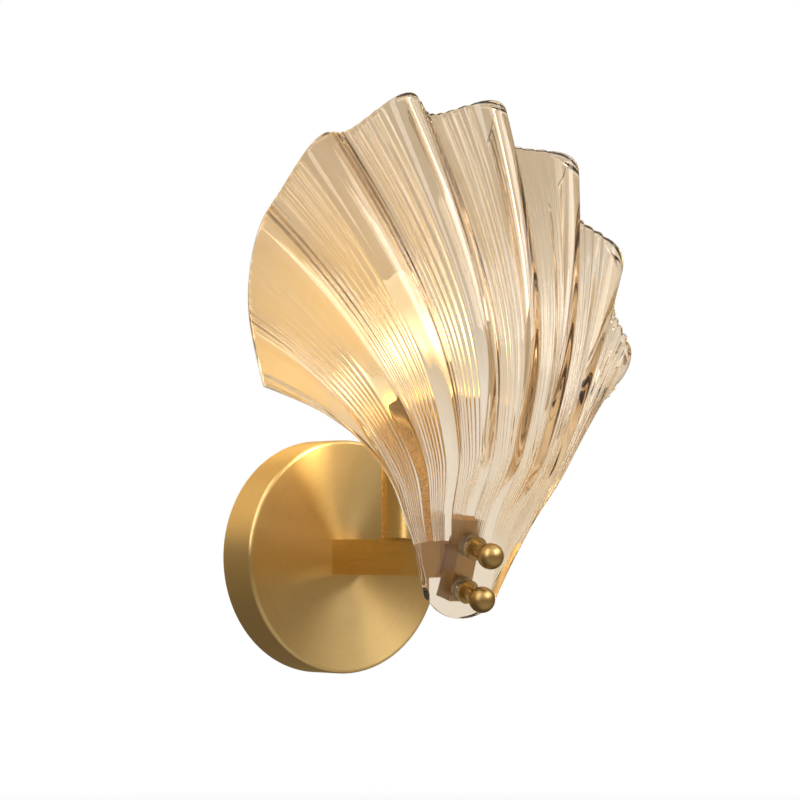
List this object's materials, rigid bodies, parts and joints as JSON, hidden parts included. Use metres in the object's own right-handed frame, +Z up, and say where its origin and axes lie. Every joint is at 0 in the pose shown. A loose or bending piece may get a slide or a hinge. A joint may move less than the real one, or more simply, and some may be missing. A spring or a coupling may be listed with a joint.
{
  "type": "shell wall sconce",
  "caption": "Wall sconce with a round canopy, a square arm, a candle lamp in a tall cup and a ribbed glass shade shaped like a scallop shell.",
  "frame": {"origin": "centre of the wall bracket's back face, on the wall plane and on the arm's axis", "axes": "+Y into the wall, -Y into the room along the arm, +Z up, +X to the right for someone facing the wall"},
  "size_m": [0.2382, 0.1625, 0.2891],
  "materials": {
    "zinc_steel": "zinc-plated steel",
    "brushed_brass": "brushed brass, lacquered",
    "plain_brass": "turned brass",
    "brass_screw": "brass-plated steel",
    "satin_brass": "satin antique brass",
    "white_ceramic": "glazed white ceramic",
    "nickel": "nickel plate",
    "solder": "dull solder",
    "black_glass": "black glass",
    "opal_glass": "frosted, lit warm white",
    "clear_glass": "clear",
    "filament": "phosphor-coated, lit",
    "clear_rubber": "translucent silicone",
    "amber_glass": "pressed champagne glass, polished",
    "white_plastic": "matt",
    "copper": "tinned copper",
    "blue_insulation": "wire insulation",
    "brown_insulation": "wire insulation",
    "green_insulation": "green and yellow wire insulation"
  },
  "bodies": {
    "fixture": {"wall_bracket": "zinc_steel", "canopy": "brushed_brass", "canopy_grub_screws": "brass_screw", "arm_tube": "brushed_brass", "arm_rear_plug": "plain_brass", "arm_nipple": "zinc_steel", "arm_nipple_washer": "zinc_steel", "arm_nipple_nut": "zinc_steel", "holder_cup": "brushed_brass", "holder_nipple": "zinc_steel", "holder_washer": "zinc_steel", "holder_nut": "zinc_steel", "holder_base": "white_ceramic", "holder_screws": "plain_brass", "holder_contact": "plain_brass", "holder_sleeve": "white_ceramic", "holder_thread_shell": "nickel", "shell_bracket": "satin_brass", "bracket_screw": "brass_screw", "shell_studs": "plain_brass", "rear_pads": "clear_rubber", "hole_sleeves": "clear_rubber", "shell_glass": "amber_glass", "terminal_block": "white_plastic", "terminal_screws": "zinc_steel", "block_screw": "zinc_steel", "earth_ring": "copper", "earth_screw": "zinc_steel", "neutral_wire": "blue_insulation", "live_wire": "brown_insulation", "earth_wire": "green_insulation"},
    "bulb_tip": {"bulb_contact": "solder"},
    "bulb": {"bulb_insulator": "black_glass", "bulb_cap": "nickel", "bulb_glass": "opal_glass", "bulb_stem": "clear_glass", "bulb_filaments": "filament"},
    "upper_washer": {"upper_front_washer": "satin_brass"},
    "upper_nut": {"upper_ball_nut": "satin_brass"},
    "lower_washer": {"lower_front_washer": "satin_brass"},
    "lower_nut": {"lower_ball_nut": "satin_brass"}
  },
  "joints": [
    {"name": "upper_nut_travel", "type": "slide", "parent": "fixture", "child": "upper_washer", "axis": [0, -0.9511, -0.309], "range_m": [0, 0.007]},
    {"name": "upper_nut_turn", "type": "hinge", "parent": "upper_washer", "child": "upper_nut", "pos_m": [0, -0.13249, 0.00464], "axis": [0, -0.9511, -0.309], "range_deg": [0, 3600.5]},
    {"name": "lower_nut_travel", "type": "slide", "parent": "fixture", "child": "lower_washer", "axis": [0, -0.9511, -0.309], "range_m": [0, 0.007]},
    {"name": "lower_nut_turn", "type": "hinge", "parent": "lower_washer", "child": "lower_nut", "pos_m": [0, -0.1256, -0.01657], "axis": [0, -0.9511, -0.309], "range_deg": [0, 3600.5]},
    {"name": "bulb_travel", "type": "slide", "parent": "fixture", "child": "bulb_tip", "axis": [0, 0, 1], "range_m": [0, 0.01692]},
    {"name": "bulb_turn", "type": "hinge", "parent": "bulb_tip", "child": "bulb", "pos_m": [0, -0.081, 0.05], "axis": [0, 0, 1], "range_deg": [0, 2160.5]}
  ],
  "couplings": [
    {"joint": "upper_nut_turn", "follows": "upper_nut_travel", "rad_per_m": 8976},
    {"joint": "lower_nut_turn", "follows": "lower_nut_travel", "rad_per_m": 8976},
    {"joint": "bulb_turn", "follows": "bulb_travel", "rad_per_m": 2228.1}
  ]
}
